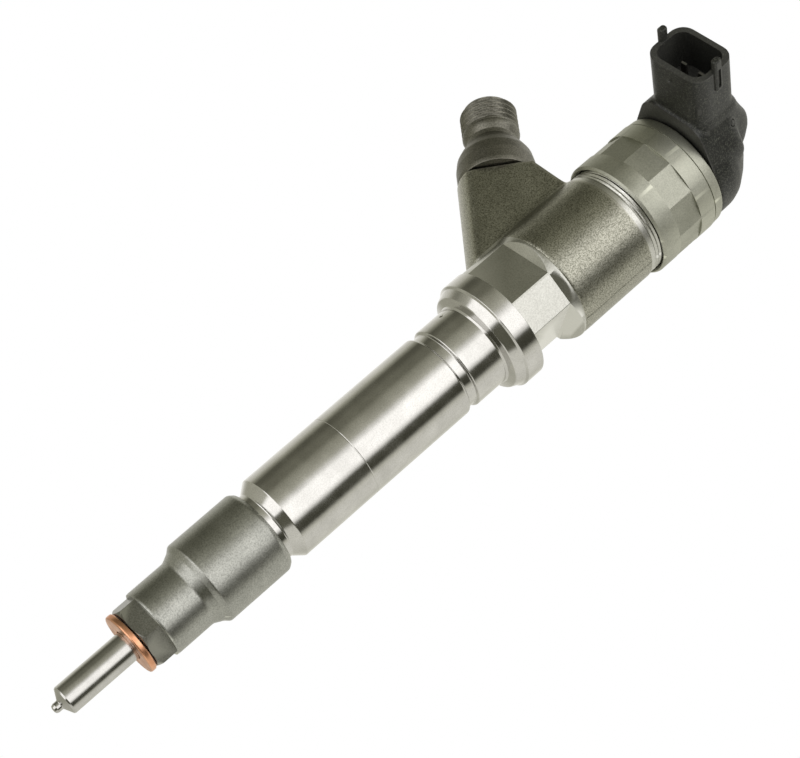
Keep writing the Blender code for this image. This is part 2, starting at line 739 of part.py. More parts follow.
def terminal_mesh(side, grow):
    """Bent blade: it rises from the magnet and turns out along the connector. grow widens it for its channel."""
    half_width, half_thickness = 0.75 + grow, 0.3 + grow
    foot, tip = Z_HEAD_NUT_TOP - 0.4, CONNECTOR_REACH - 4.0
    path = [
        (TERMINAL_Y - half_thickness, foot - grow),
        (TERMINAL_Y + half_thickness, foot - grow),
        (TERMINAL_Y + half_thickness, CONNECTOR_Z - half_thickness),
        (tip + grow, CONNECTOR_Z - half_thickness),
        (tip + grow, CONNECTOR_Z + half_thickness),
        (TERMINAL_Y - half_thickness, CONNECTOR_Z + half_thickness),
    ]
    bm = prism_mesh(path, -half_width, half_width)
    upright = Matrix(((0.0, 0.0, 1.0), (1.0, 0.0, 0.0), (0.0, 1.0, 0.0)))
    bmesh.ops.rotate(bm, verts=bm.verts, matrix=upright)
    bmesh.ops.translate(bm, verts=bm.verts, vec=(TERMINAL_X * side, 0.0, 0.0))
    return bm


def dome_outline():
    """Round base of the cap, drawing in and rounded over at the top."""
    return [
        (0.0, Z_CAP),
        (R_CAP - 0.3, Z_CAP),
        (R_CAP, Z_CAP + 0.6),
        (R_CAP, Z_CAP + 2.4),
        (R_CAP - 0.5, Z_CAP + 5.6),
        (R_CAP - 1.0, Z_DOME_TOP - 7.1),
        (R_CAP - 2.25, Z_DOME_TOP - 4.6),
        (R_CAP - 3.5, Z_DOME_TOP - 2.8),
        (R_CAP - 5.0, Z_DOME_TOP - 1.4),
        (R_CAP - 7.0, Z_DOME_TOP - 0.4),
        (0.0, Z_DOME_TOP),
    ]


def neck_mesh():
    """Straight-sided flare from the dome's sides to the root of the plug shroud."""
    half = SHROUD[0] / 2
    side_x, side_y = 12.6, 6.3
    outline = [
        (side_x, side_y),
        (CONNECTOR_X + half, SHROUD_ROOT - 0.5),
        (CONNECTOR_X - half, SHROUD_ROOT - 0.5),
        (-side_x, side_y),
        (-10.0, -2.0),
        (10.0, -2.0),
    ]
    bm = prism_mesh(outline, Z_CAP + 0.2, CONNECTOR_Z + SHROUD[1] / 2 - 1.0)
    rim = [edge for edge in bm.edges if min(vert.co.z for vert in edge.verts) > Z_CAP + 5.0]
    bmesh.ops.bevel(bm, geom=rim, offset=3.2, segments=2, profile=0.5, affect="EDGES")
    return bm


def hump_mesh():
    """Rounded back over the terminals, from above the axis down to the plug shroud."""
    half = SHROUD[0] / 2
    profile = [
        (0.0, Z_CAP + 1.0),
        (SHROUD_ROOT + 1.5, Z_CAP + 1.0),
        (SHROUD_ROOT + 1.5, CONNECTOR_Z + SHROUD[1] / 2 - 0.2),
        (SHROUD_ROOT - 2.5, Z_HUMP_TOP - 2.3),
        (SHROUD_ROOT - 5.5, Z_HUMP_TOP - 0.9),
        (SHROUD_ROOT - 8.5, Z_HUMP_TOP),
        (SHROUD_ROOT - 12.0, Z_HUMP_TOP),
        (3.0, Z_HUMP_TOP - 1.0),
        (0.0, Z_HUMP_TOP - 2.0),
    ]
    bm = prism_mesh(profile, -half, half)
    upright = Matrix(((0.0, 0.0, 1.0), (1.0, 0.0, 0.0), (0.0, 1.0, 0.0)))
    bmesh.ops.rotate(bm, verts=bm.verts, matrix=upright)
    sides = [face for face in bm.faces if abs(abs(face.calc_center_median().x) - half) < 1e-3]
    top = [edge for face in sides for edge in face.edges if min(vert.co.z for vert in edge.verts) > Z_CAP + 9.0]
    bmesh.ops.bevel(bm, geom=top, offset=3.4, segments=3, profile=0.5, affect="EDGES")
    return bm


def build_cap():
    """Overmoulded plastic cap: dome, flared neck, plug shroud with its cavity, and two latch lugs."""
    cap = turned("connector_cap", dome_outline(), "black_plastic", FINE)
    join(cap, new_object("cap_neck", neck_mesh()))
    join(cap, new_object("cap_hump", hump_mesh()))
    depth = CONNECTOR_REACH - SHROUD_ROOT
    shroud = new_object("plug_shroud", rounded_box(SHROUD[0], SHROUD[1], 4.2, -depth, 0.0))
    shroud.matrix_world = connector_frame()
    join(cap, shroud)
    for side, name in ((-1, "lug_left"), (1, "lug_right")):
        lug = new_object(name, rounded_box(1.7, 2.4, 0.7, -9.0, LUG_REACH - CONNECTOR_REACH, 2))
        lug.matrix_world = connector_frame() @ Matrix.Translation((side * (SHROUD[0] / 2 + 0.1) * MM, 0.0, 0.0))
        join(cap, lug)
    cavity = new_object("plug_cavity", rounded_box(OPENING[0], OPENING[1], 2.9, -10.5, 6.0))
    cavity.matrix_world = connector_frame()
    cut(cap, cavity)
    cut(cap, rod("cap_recess", 11.3, Z_CAP - 1.0, Z_HEAD_NUT_TOP + 1.5, sides=FINE))
    for name, side in (("terminal_a", -1), ("terminal_b", 1)):
        cut(cap, new_object(f"{name}_channel", terminal_mesh(side, GAP)))
        new_object(name, terminal_mesh(side, 0.0), "terminal_tin")


def main():
    clear_scene()
    build_nozzle_body()
    build_needle()
    build_nozzle_nut()
    build_washer()
    build_dowels()
    build_needle_spring_group()
    build_control_rod()
    build_holder()
    build_inlet()
    build_valve_body()
    build_clamp_nut()
    build_ball()
    build_armature()
    build_magnet()
    build_head_nut()
    build_cap()


main()
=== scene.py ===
"""The looks of the fuel injector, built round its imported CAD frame.

Shapes are given in millimetres in the frame's own axes: +Z runs up the injector from the nozzle's tip, +X
is the side the inlet leans to and +Y the side the plug shroud points to. The mesh builders make metres.
"""
import json
import math

import bmesh
import bpy
from mathutils import Matrix, Vector


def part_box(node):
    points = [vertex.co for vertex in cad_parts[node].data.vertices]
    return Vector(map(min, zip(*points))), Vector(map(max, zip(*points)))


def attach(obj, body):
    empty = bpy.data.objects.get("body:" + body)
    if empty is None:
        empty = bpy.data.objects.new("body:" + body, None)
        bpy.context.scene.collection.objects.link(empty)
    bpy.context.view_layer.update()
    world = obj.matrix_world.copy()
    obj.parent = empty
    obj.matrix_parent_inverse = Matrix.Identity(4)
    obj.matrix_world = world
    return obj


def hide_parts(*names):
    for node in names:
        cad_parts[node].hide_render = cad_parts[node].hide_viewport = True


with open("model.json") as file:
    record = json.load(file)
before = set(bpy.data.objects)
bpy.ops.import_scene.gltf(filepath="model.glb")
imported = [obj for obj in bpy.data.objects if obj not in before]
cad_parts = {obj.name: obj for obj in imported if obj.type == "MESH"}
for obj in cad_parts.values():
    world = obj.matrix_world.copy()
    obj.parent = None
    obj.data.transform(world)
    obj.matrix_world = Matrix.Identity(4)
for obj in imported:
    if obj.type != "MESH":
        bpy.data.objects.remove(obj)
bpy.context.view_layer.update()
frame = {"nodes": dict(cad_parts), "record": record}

SLOTS = {entry["node"]: entry["material_slot"] for entry in frame["record"]["subparts"]}
MM = 0.001


def low(node):
    """Lowest corner of a CAD node in millimetres."""
    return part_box(node)[0] / MM


def high(node):
    """Highest corner of a CAD node in millimetres."""
    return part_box(node)[1] / MM


# Heights along the axis
TIP = low("nozzle_body").z
SEAT = low("sealing_washer").z
NUT = low("nozzle_nut").z
NUT_TOP = high("nozzle_nut").z
SPLIT = high("nozzle_body").z
HOLDER = low("holder_body").z
HOLDER_TOP = high("holder_body").z
BARREL = NUT_TOP + 4.0
RING_LINE = BARREL + 20.8
BARREL_TOP = BARREL + 49.4
GROOVE_TOP = BARREL_TOP + 2.6
COLLAR = GROOVE_TOP + 11.4
FLATS = COLLAR + 5.2
FLATS_TOP = FLATS + 11.4
FORGING = FLATS_TOP + 2.3
HEAD_NUT = low("solenoid_nut").z
HEAD_NUT_TOP = high("solenoid_nut").z
THREAD = HEAD_NUT - 3.2
CAP = low("connector_cap").z
CAP_TOP = high("connector_cap").z

# Radii
R_SHANK = 3.5
R_SHANK_BORE = R_SHANK + 0.25        # of the washer and of the nut's floor, round the shank
R_COLLAR_INSIDE = high("nozzle_body").x
R_WASHER = high("sealing_washer").x
R_NUT = high("nozzle_nut").x
R_NUT_NECK = R_NUT - 2.1
R_BARREL = 10.5
R_COLLAR = 14.2
R_FORGING = -low("holder_body").x
R_THREAD = R_FORGING - 0.3
R_THREAD_BORE = R_THREAD + 0.25      # of the head nut
R_HEAD_NUT = high("solenoid_nut").x
R_CAP = -low("connector_cap").x
R_CAP_BORE = 11.3                    # of the cap and of the head nut's top, over the solenoid

# Inlet, measured along its own axis from where it crosses the injector's axis
INLET_LEAN = math.radians(51.6)
INLET_FOOT = 136.4
INLET_STEM = 22.0
INLET_SEAM = 36.9
INLET_COLLAR_TOP = 41.4
INLET_NECK = 48.8
INLET_THREAD = 52.4
INLET_END = 60.2
R_INLET_COLLAR = 9.6
R_INLET_NECK = 6.2
R_INLET_THREAD = 7.0
BOSS_HALF = 7.5                      # axis to the flat side of the boss

# Flats for the spanner and the clamp: direction of each normal about +Z, and distance from the axis
WRENCH_FLATS = ((84.0, 11.9), (134.0, 13.3), (199.0, 9.4), (270.0, 11.9))

# Plug shroud
PLUG_X = 0.8
PLUG_Z = 196.8
RIM = 32.6
SHROUD = (16.4, 12.8)
OPENING = (13.8, 9.9)
SHROUD_ROOT = 19.0
LUG_TIP = high("connector_cap").y
DOME_TOP = CAP_TOP - 1.4

VIEW_AZIMUTH = 121.7                 # direction from the axis towards the photographer, about +Z

ROUND = 192                          # sides of a large turned piece


# ---------------------------------------------------------------- mesh tools


def filleted(outline):
    """An outline of (radius, height) or (radius, height, fillet) corners, its fillets drawn as curves."""
    steps = 4
    points = []
    for index, corner in enumerate(outline):
        here = Vector(corner[:2])
        if len(corner) < 3:
            points.append(here)
            continue
        before = Vector(outline[index - 1][:2]) - here
        after = Vector(outline[(index + 1) % len(outline)][:2]) - here
        half = before.angle(after) / 2.0
        trim = min(corner[2] / math.tan(half), 0.48 * before.length, 0.48 * after.length)
        first, last = here + before.normalized() * trim, here + after.normalized() * trim
        for step in range(steps + 1):
            share = step / steps
            inward = first.lerp(here, share)
            outward = here.lerp(last, share)
            points.append(inward.lerp(outward, share))
    return points


def tidy(bm):
    """Welds points that coincide and turns all faces outwards."""
    bmesh.ops.remove_doubles(bm, verts=bm.verts, dist=2e-7)
    bmesh.ops.dissolve_degenerate(bm, edges=bm.edges, dist=2e-7)
    bmesh.ops.recalc_face_normals(bm, faces=bm.faces)


def linked(name, bm):
    """An object made from a bmesh in metres."""
    tidy(bm)
    mesh = bpy.data.meshes.new(name)
    bm.to_mesh(mesh)
    bm.free()
    piece = bpy.data.objects.new(name, mesh)
    bpy.context.scene.collection.objects.link(piece)
    return piece


def turned(name, outline, sides=ROUND, shift=None):
    """An outline turned about +Z. An outline that starts off the axis is closed into a ring.

    shift(angle, radius, height) may change a point's radius, as a thread does.
    """
    closed = outline[0][0] > 0.0
    points = filleted(outline)
    bm = bmesh.new()
    loops = []
    for side in range(sides):
        angle = math.tau * side / sides
        loop = []
        for radius, height in points:
            reach = shift(angle, radius, height) if shift else radius
            place = (reach * math.cos(angle) * MM, reach * math.sin(angle) * MM, height * MM)
            loop.append(bm.verts.new(place))
        loops.append(loop)
    last = len(points) if closed else len(points) - 1
    for loop, beside in zip(loops, loops[1:] + loops[:1]):
        for index in range(last):
            above = (index + 1) % len(points)
            bm.faces.new((loop[index], beside[index], beside[above], loop[above]))
    return linked(name, bm)


def prism(name, corners, bottom, top, bevel=0.0):
    """A flat outline (x, y) extruded along Z, its upright edges and rims rounded by bevel."""
    bm = bmesh.new()
    base = bm.faces.new([bm.verts.new((x * MM, y * MM, bottom * MM)) for x, y in corners])
    raised = bmesh.ops.extrude_face_region(bm, geom=[base])["geom"]
    verts = [item for item in raised if isinstance(item, bmesh.types.BMVert)]
    bmesh.ops.translate(bm, verts=verts, vec=(0.0, 0.0, (top - bottom) * MM))
    if bevel:
        sharp = 0.3
        edges = [edge for edge in bm.edges if edge.calc_face_angle(0.0) > sharp]
        bmesh.ops.bevel(bm, geom=edges, offset=bevel * MM, segments=3, profile=0.5, affect="EDGES")
    return linked(name, bm)


def rectangle(left, right, half):
    """Corners of a rectangle that reaches half to each side of the X axis."""
    return [(left, -half), (right, -half), (right, half), (left, half)]


def arc(radius, centre, start, end, steps):
    """Points of a circular arc, angles in degrees."""
    x, y = centre
    angles = [math.radians(start + (end - start) * step / steps) for step in range(steps + 1)]
    return [(x + radius * math.cos(angle), y + radius * math.sin(angle)) for angle in angles]


def rounded_corners(width, depth, corner):
    """Outline of a rectangle about the origin, its corners rounded to a radius."""
    points = []
    for quarter, (side, end) in enumerate(((1, 1), (-1, 1), (-1, -1), (1, -1))):
        centre = (side * (width / 2 - corner), end * (depth / 2 - corner))
        points += arc(corner, centre, 90.0 * quarter, 90.0 * quarter + 90.0, 8)
    return points


def bake(piece):
    """Gives a piece the mesh that its modifiers make, and drops them."""
    graph = bpy.context.evaluated_depsgraph_get()
    mesh = bpy.data.meshes.new_from_object(piece.evaluated_get(graph))
    piece.modifiers.clear()
    piece.data = mesh
    return piece


def combine(piece, other, operation):
    """Applies one Boolean and removes the other shape."""
    step = piece.modifiers.new("combine", "BOOLEAN")
    step.operation = operation
    step.solver = "MANIFOLD"
    step.object = other
    bake(piece)
    bpy.data.objects.remove(other, do_unlink=True)
    return piece


def cut(piece, cutter):
    """Takes the cutter's shape out of a piece."""
    return combine(piece, cutter, "DIFFERENCE")


def join(piece, other):
    """Makes two shapes that meet into one closed shape."""
    return combine(piece, other, "UNION")


def placed(piece, matrix):
    """Moves the mesh itself, so that the object stays at the origin."""
    piece.data.transform(matrix)
    return piece


def remeshed(piece, voxel, smoothing):
    """One skin over a union of shapes, with its inner corners softened as in a forging or a moulding."""
    skin = piece.modifiers.new("skin", "REMESH")
    skin.mode = "VOXEL"
    skin.voxel_size = voxel * MM
    soft = piece.modifiers.new("soft", "SMOOTH")
    soft.factor = 0.6
    soft.iterations = smoothing
    return bake(piece)


def softened(piece, width, angle=30.0):
    """Breaks the sharp edges that the cuts left, as deburring does."""
    step = piece.modifiers.new("deburr", "BEVEL")
    step.width = width * MM
    step.segments = 2
    step.limit_method = "ANGLE"
    step.angle_limit = math.radians(angle)
    step.use_clamp_overlap = True
    return bake(piece)


def shaded(piece, angle):
    """Smooth shading across edges up to the angle, with flats kept flat by their area."""
    piece.data.shade_smooth()
    piece.data.set_sharp_from_angle(angle=math.radians(angle))
    step = piece.modifiers.new("flats", "WEIGHTED_NORMAL")
    step.keep_sharp = True
    return bake(piece)


def pointing(start, way):
    """Carries +Z onto a direction from a point."""
    turn = Vector(way).to_track_quat("Z", "Y").to_matrix().to_4x4()
    return Matrix.Translation(Vector(start) * MM) @ turn


def rod(name, radius, bottom, top, sides=ROUND):
    """A round bar about +Z."""
    return turned(name, [(0.0, bottom), (radius, bottom), (radius, top), (0.0, top)], sides)


def drill(piece, radius, start, end):
    """A small straight round hole."""
    way = Vector(end) - Vector(start)
    return cut(piece, placed(rod("drill", radius, 0.0, way.length, 16), pointing(start, way)))


def polygon(sides, apothem, phase=0.0):
    """Corners of a regular polygon. The phase turns it, in radians."""
    radius = apothem / math.cos(math.pi / sides)
    angles = [phase + math.pi * (2 * step + 1) / sides for step in range(sides)]
    return [(radius * math.cos(angle), radius * math.sin(angle)) for angle in angles]


def die(sides, apothem, bottom, top, phase):
    """A ring with a polygonal hole, which leaves that many flats on a round piece. Phase in degrees."""
    block = prism("die", polygon(24, 2.0 * apothem), bottom, top)
    hole = polygon(sides, apothem, math.radians(phase))
    return cut(block, prism("die_hole", hole, bottom - 1.0, top + 1.0))


# ---------------------------------------------------------------- material tools


def add(tree, kind, sockets=None, **settings):
    """A node with its settings, and its inputs set to values or linked to other nodes' outputs."""
    node = tree.nodes.new(kind)
    for key, value in settings.items():
        setattr(node, key, value)
    for key, value in (sockets or {}).items():
        if isinstance(value, bpy.types.NodeSocket):
            tree.links.new(value, node.inputs[key])
        else:
            node.inputs[key].default_value = value
    return node


def math_node(tree, operation, first, second=0.0, third=0.0):
    """One step of arithmetic on values or on other nodes' outputs."""
    sockets = {0: first, 1: second, 2: third}
    return add(tree, "ShaderNodeMath", sockets, operation=operation).outputs[0]


def spread(tree, value, from_low, from_high, to_low=0.0, to_high=1.0):
    """Maps a value from one range to another, clamped."""
    sockets = {"Value": value, "From Min": from_low, "From Max": from_high,
               "To Min": to_low, "To Max": to_high}
    return add(tree, "ShaderNodeMapRange", sockets).outputs["Result"]


def noise(tree, place, scale, detail, rough=0.5):
    """Cloudy noise between 0 and 1, its scale in cycles per metre."""
    sockets = {"Vector": place, "Scale": scale, "Detail": detail, "Roughness": rough}
    return add(tree, "ShaderNodeTexNoise", sockets).outputs["Fac"]


def stretched(tree, place, scale):
    """Coordinates scaled by axis, for marks that run one way."""
    return add(tree, "ShaderNodeMapping", {"Vector": place, "Scale": scale}).outputs["Vector"]


def mix_colour(tree, share, first, second):
    """Goes from the first colour to the second as the share goes from 0 to 1."""
    colours = [(*colour, 1.0) if isinstance(colour, tuple) else colour for colour in (first, second)]
    factor, first_input, second_input, output = 0, 6, 7, 2    # the colour sockets of a Mix node
    sockets = {factor: share, first_input: colours[0], second_input: colours[1]}
    return add(tree, "ShaderNodeMix", sockets, data_type="RGBA").outputs[output]


def bump(tree, height, depth, below=None):
    """A bump whose height runs from 0 to depth millimetres."""
    sockets = {"Height": height, "Distance": depth * MM, "Strength": 1.0}
    if below is not None:
        sockets["Normal"] = below
    return add(tree, "ShaderNodeBump", sockets).outputs["Normal"]


def new_material(name):
    """An empty material: its tree, its Principled shader and the place in the object's own axes."""
    made = bpy.data.materials.new(name)
    made.use_nodes = True
    tree = made.node_tree
    shader = tree.nodes["Principled BSDF"]
    place = tree.nodes.new("ShaderNodeTexCoord").outputs["Object"]
    return made, tree, shader, place


def connect(tree, shader, **sockets):
    """Sets or links the shader's inputs, named as in Blender but in lower case with underscores."""
    for key, value in sockets.items():
        key = key.replace("_", " ").title()
        if isinstance(value, bpy.types.NodeSocket):
            tree.links.new(value, shader.inputs[key])
        else:
            shader.inputs[key].default_value = value


def edge_wear_and_highlight(tree, strength):
    """The strength on convex edges, 0 on faces and in corners. Lightening there stands for wear and is also
    a painted highlight.
    """
    pointed = tree.nodes.new("ShaderNodeNewGeometry").outputs["Pointiness"]
    return spread(tree, pointed, 0.52, 0.60, 0.0, strength)


def axial_lines(tree, place, pitch, detail):
    """Noise that changes along Z only, once in each pitch of millimetres: marks of a lathe or grinder."""
    return noise(tree, stretched(tree, place, (0.0, 0.0, 1.0)), 1.0 / (pitch * MM), detail)


def specked(tree, speck, dark_from, dark_to, strength, colour, dark):
    """Darkens a colour where the speck noise is high."""
    return mix_colour(tree, spread(tree, speck, dark_from, dark_to, 0.0, strength), colour, dark)


def scaled(colour, factor):
    """A brighter or darker shade of a colour, at most white."""
    return tuple(min(1.0, factor * channel) for channel in colour)


def turned_tangent(tree):
    """Tangents round +Z, for the stretched highlights of turned metal."""
    return add(tree, "ShaderNodeTangent", direction_type="RADIAL", axis="Z").outputs["Tangent"]


# ---------------------------------------------------------------- materials


def ground_steel(name="ground_steel_finish", tone=0.62, rough=0.115):
    """Bright cylindrical-ground steel: fine rings round the axis, faint handling marks."""
    made, tree, shader, place = new_material(name)
    rings = axial_lines(tree, place, 0.09, 4.0)
    bands = axial_lines(tree, place, 2.6, 2.0)
    smudge = noise(tree, place, 160.0, 4.0, 0.6)
    speck = noise(tree, place, 3000.0, 2.0, 0.8)
    dark = (tone * 0.86, tone * 0.85, tone * 0.82)
    light = (tone * 1.06, tone * 1.05, tone * 1.02)
    colour = mix_colour(tree, spread(tree, smudge, 0.35, 0.7), dark, light)
    colour = specked(tree, speck, 0.42, 0.66, 0.22, colour, scaled(dark, 0.5))
    streaks = math_node(tree, "MULTIPLY_ADD", rings, 0.10, rough - 0.06)
    roughness = math_node(tree, "MULTIPLY_ADD", spread(tree, smudge, 0.4, 0.75), 0.08, streaks)
    texture = math_node(tree, "ADD", rings, math_node(tree, "MULTIPLY", bands, 0.8))
    normal = bump(tree, texture, 0.0012, bump(tree, speck, 0.0008))
    connect(tree, shader, base_color=colour, metallic=1.0, roughness=roughness, normal=normal,
            anisotropic=0.55, tangent=turned_tangent(tree))
    return made


def satin_steel(name, dark, light, rough, ring_depth=0.004, speck_depth=0.004, grit=0.6, lean=0.0):
    """Turned and lightly blasted steel with worn edges, their lightening also a painted highlight on thread
    crests. Its rings run about +Z, or a leaning axis.
    """
    made, tree, shader, place = new_material(name)
    if lean:
        place = add(tree, "ShaderNodeVectorRotate", {"Vector": place, "Angle": -lean},
                    rotation_type="Y_AXIS").outputs["Vector"]
    rings = axial_lines(tree, place, 0.14, 3.0)
    cloud = noise(tree, place, 130.0, 5.0, 0.6)
    speck = noise(tree, place, 3000.0, 2.0, 0.8)
    pits = noise(tree, place, 900.0, 2.0, 0.6)
    colour = mix_colour(tree, spread(tree, cloud, 0.3, 0.7), dark, light)
    colour = specked(tree, speck, 0.40, 0.64, grit, colour, scaled(dark, 0.45))
    # Convex edges and thread crests lightened: wear, and a painted highlight of the crests.
    colour = mix_colour(tree, edge_wear_and_highlight(tree, 0.7), colour, scaled(light, 1.6))
    roughness = math_node(tree, "MULTIPLY_ADD", cloud, 0.14, rough - 0.07)
    normal = bump(tree, pits, 0.004, bump(tree, rings, ring_depth, bump(tree, speck, speck_depth)))
    connect(tree, shader, base_color=colour, metallic=1.0, roughness=roughness, normal=normal)
    if not lean:
        connect(tree, shader, anisotropic=0.25, tangent=turned_tangent(tree))
    return made


def forged_steel():
    """Forged, blasted and oiled steel: coarse grain, olive-grey, with a faint parting line behind."""
    made, tree, shader, place = new_material("forged_steel_finish")
    fine = noise(tree, place, 3100.0, 2.0, 0.8)
    grain = noise(tree, place, 2000.0, 3.0, 0.7)
    cloud = noise(tree, place, 90.0, 4.0, 0.55)
    colour = mix_colour(tree, spread(tree, cloud, 0.3, 0.7), (0.43, 0.425, 0.36), (0.54, 0.535, 0.46))
    colour = specked(tree, fine, 0.38, 0.62, 0.9, colour, (0.15, 0.15, 0.12))
    colour = mix_colour(tree, edge_wear_and_highlight(tree, 0.5), colour, (0.62, 0.61, 0.55))
    axes = add(tree, "ShaderNodeSeparateXYZ", {"Vector": place})
    off_plane = math_node(tree, "ABSOLUTE", axes.outputs["Y"])
    ridge = spread(tree, off_plane, 0.0, 0.35 * MM, 1.0, 0.0)
    behind = spread(tree, axes.outputs["X"], -9.0 * MM, -12.0 * MM)
    parting = math_node(tree, "MULTIPLY", ridge, behind)
    normal = bump(tree, grain, 0.030, bump(tree, fine, 0.034))
    normal = bump(tree, parting, 0.12, normal)
    roughness = math_node(tree, "MULTIPLY_ADD", cloud, 0.16, 0.24)
    connect(tree, shader, base_color=colour, metallic=1.0, roughness=roughness, normal=normal)
    return made


def copper():
    """Bare annealed copper with a light bloom of tarnish."""
    made, tree, shader, place = new_material("copper_finish")
    cloud = noise(tree, place, 300.0, 4.0, 0.6)
    speck = noise(tree, place, 2400.0, 3.0, 0.7)
    colour = mix_colour(tree, spread(tree, cloud, 0.35, 0.7), (0.84, 0.45, 0.27), (0.62, 0.29, 0.16))
    colour = mix_colour(tree, edge_wear_and_highlight(tree, 0.8), colour, (0.98, 0.62, 0.45))
    roughness = math_node(tree, "MULTIPLY_ADD", cloud, 0.2, 0.22)
    normal = bump(tree, speck, 0.006)
    connect(tree, shader, base_color=colour, metallic=1.0, roughness=roughness, normal=normal)
    return made


def black_plastic():
    """Glass-filled moulded plastic: spark-eroded grain, faint flow marks, a little dust on the edges."""
    made, tree, shader, place = new_material("black_plastic_finish")
    grain = noise(tree, place, 2400.0, 2.0, 0.8)
    fine = noise(tree, place, 1100.0, 2.0, 0.6)
    flow = noise(tree, stretched(tree, place, (1.0, 0.35, 1.0)), 220.0, 4.0, 0.6)
    colour = mix_colour(tree, spread(tree, flow, 0.35, 0.7), (0.009, 0.010, 0.009), (0.022, 0.023, 0.021))
    colour = mix_colour(tree, spread(tree, grain, 0.50, 0.66, 0.0, 0.8), colour, (0.10, 0.105, 0.085))
    colour = mix_colour(tree, edge_wear_and_highlight(tree, 0.5), colour, (0.085, 0.085, 0.080))
    roughness = math_node(tree, "MULTIPLY_ADD", flow, 0.25, 0.30)
    normal = bump(tree, grain, 0.050, bump(tree, fine, 0.030))
    shader.inputs["Specular IOR Level"].default_value = 0.42
    connect(tree, shader, base_color=colour, roughness=roughness, normal=normal)
    return made


def plain_finish(name, dark, light, rough, metallic, scale=1200.0, depth=0.004):
    """Fine-grained finish for the pieces inside."""
    made, tree, shader, place = new_material(name)
    cloud = noise(tree, place, scale / 6.0, 3.0)
    speck = noise(tree, place, scale, 3.0, 0.6)
    colour = mix_colour(tree, cloud, dark, light)
    colour = mix_colour(tree, edge_wear_and_highlight(tree, 0.4), colour, scaled(light, 1.5))
    roughness = math_node(tree, "MULTIPLY_ADD", speck, 0.12, rough - 0.06)
    connect(tree, shader, base_color=colour, metallic=metallic, roughness=roughness,
            normal=bump(tree, speck, depth))
    return made


def make_materials():
    """One finish for each material slot of the record, and three more for parts of the steel pieces."""
    return {
        "ground_steel": ground_steel(),
        "nozzle_steel": ground_steel("nozzle_steel_finish", 0.58, 0.16),
        "machined_steel": satin_steel("machined_steel_finish", (0.54, 0.54, 0.50), (0.66, 0.66, 0.62),
                                      0.30, 0.0015, 0.003, 0.35),
        "nut_steel": satin_steel("nut_steel_finish", (0.37, 0.375, 0.345), (0.49, 0.495, 0.46), 0.34),
        # A darker copy of the nut's steel for its hexagon: painted shade of the flats.
        "nut_hexagon": satin_steel("nut_hexagon_finish", (0.20, 0.20, 0.18), (0.29, 0.29, 0.265), 0.30),
        "forged_steel": forged_steel(),
        "phosphated_steel": satin_steel("phosphated_steel_finish", (0.20, 0.195, 0.165), (0.29, 0.28, 0.24),
                                        0.46, 0.004, 0.008, 0.75, INLET_LEAN),
        "plated_steel": satin_steel("plated_steel_finish", (0.43, 0.435, 0.37), (0.56, 0.565, 0.49),
                                    0.48, 0.002, 0.004, 0.35),
        "spring_steel": plain_finish("spring_steel_finish", (0.30, 0.30, 0.32), (0.45, 0.45, 0.47),
                                     0.35, 1.0),
        "hardened_steel": plain_finish("hardened_steel_finish", (0.50, 0.51, 0.53), (0.62, 0.63, 0.65),
                                       0.22, 1.0),
        "copper": copper(),
        "magnet_iron": plain_finish("magnet_iron_finish", (0.14, 0.14, 0.15), (0.26, 0.26, 0.27),
                                    0.6, 0.8, 1800.0, 0.02),
        "black_plastic": black_plastic(),
        "bobbin_plastic": plain_finish("bobbin_plastic_finish", (0.26, 0.17, 0.07), (0.42, 0.30, 0.14),
                                       0.45, 0.0),
        "seal_rubber": plain_finish("seal_rubber_finish", (0.015, 0.015, 0.016), (0.035, 0.035, 0.037),
                                    0.6, 0.0, 1500.0, 0.01),
        # Tin plate made nearly black: painted shade of the deep plug cavity round the terminals.
        "terminal_tin": plain_finish("terminal_tin_painted_shade", (0.10, 0.10, 0.09), (0.17, 0.17, 0.16),
                                     0.5, 1.0),
    }


def take_finishes(piece, *finishes):
    """Gives a piece its materials, in the order of its faces' indices."""
    piece.data.materials.clear()
    for finish in finishes:
        piece.data.materials.append(finish)


# ---------------------------------------------------------------- nozzle end


def build_shank():
    """Nozzle body: rounded nose with spray holes, long ground shank, and the hidden collar in the nut."""
    collar = NUT + 6.0
    gallery = collar + 1.6
    bore = 2.1
    outline = [
        (0.0, TIP),
        (0.45, TIP),
        (0.92, TIP + 0.18),
        (1.15, TIP + 0.72, 0.4),
        (1.15, TIP + 1.8, 0.25),
        (R_SHANK - 0.2, TIP + 2.9, 0.25),
        (R_SHANK, TIP + 3.25, 0.3),
        (R_SHANK, collar, 0.1),
        (R_COLLAR_INSIDE, collar, 0.3),
        (R_COLLAR_INSIDE, SPLIT, 0.3),
        (bore, SPLIT),
        (bore, gallery + 4.0),
        (4.4, gallery + 3.2),
        (4.4, gallery + 0.6),
        (1.9, gallery),
        (1.9, TIP + 3.7),
        (0.45, TIP + 1.2),
        (0.45, TIP + 0.9),
        (0.0, TIP + 0.9),
    ]
    piece = turned("nozzle_shank", outline, 128)
    spray_holes = 6
    reach, radius = 1.7, 0.07
    for hole in range(spray_holes):
        angle = math.tau * (hole + 0.5) / spray_holes
        mouth = (reach * math.cos(angle), reach * math.sin(angle), TIP + 0.72)
        drill(piece, radius, (0.0, 0.0, TIP + 1.3), mouth)
    return piece


def build_washer():
    """Copper ring with rounded rims."""
    top = NUT - 0.3
    outline = [
        (R_SHANK_BORE, SEAT, 0.15),
        (R_WASHER, SEAT, 0.45),
        (R_WASHER, top, 0.45),
        (R_SHANK_BORE, top, 0.15),
    ]
    return turned("copper_washer", outline)


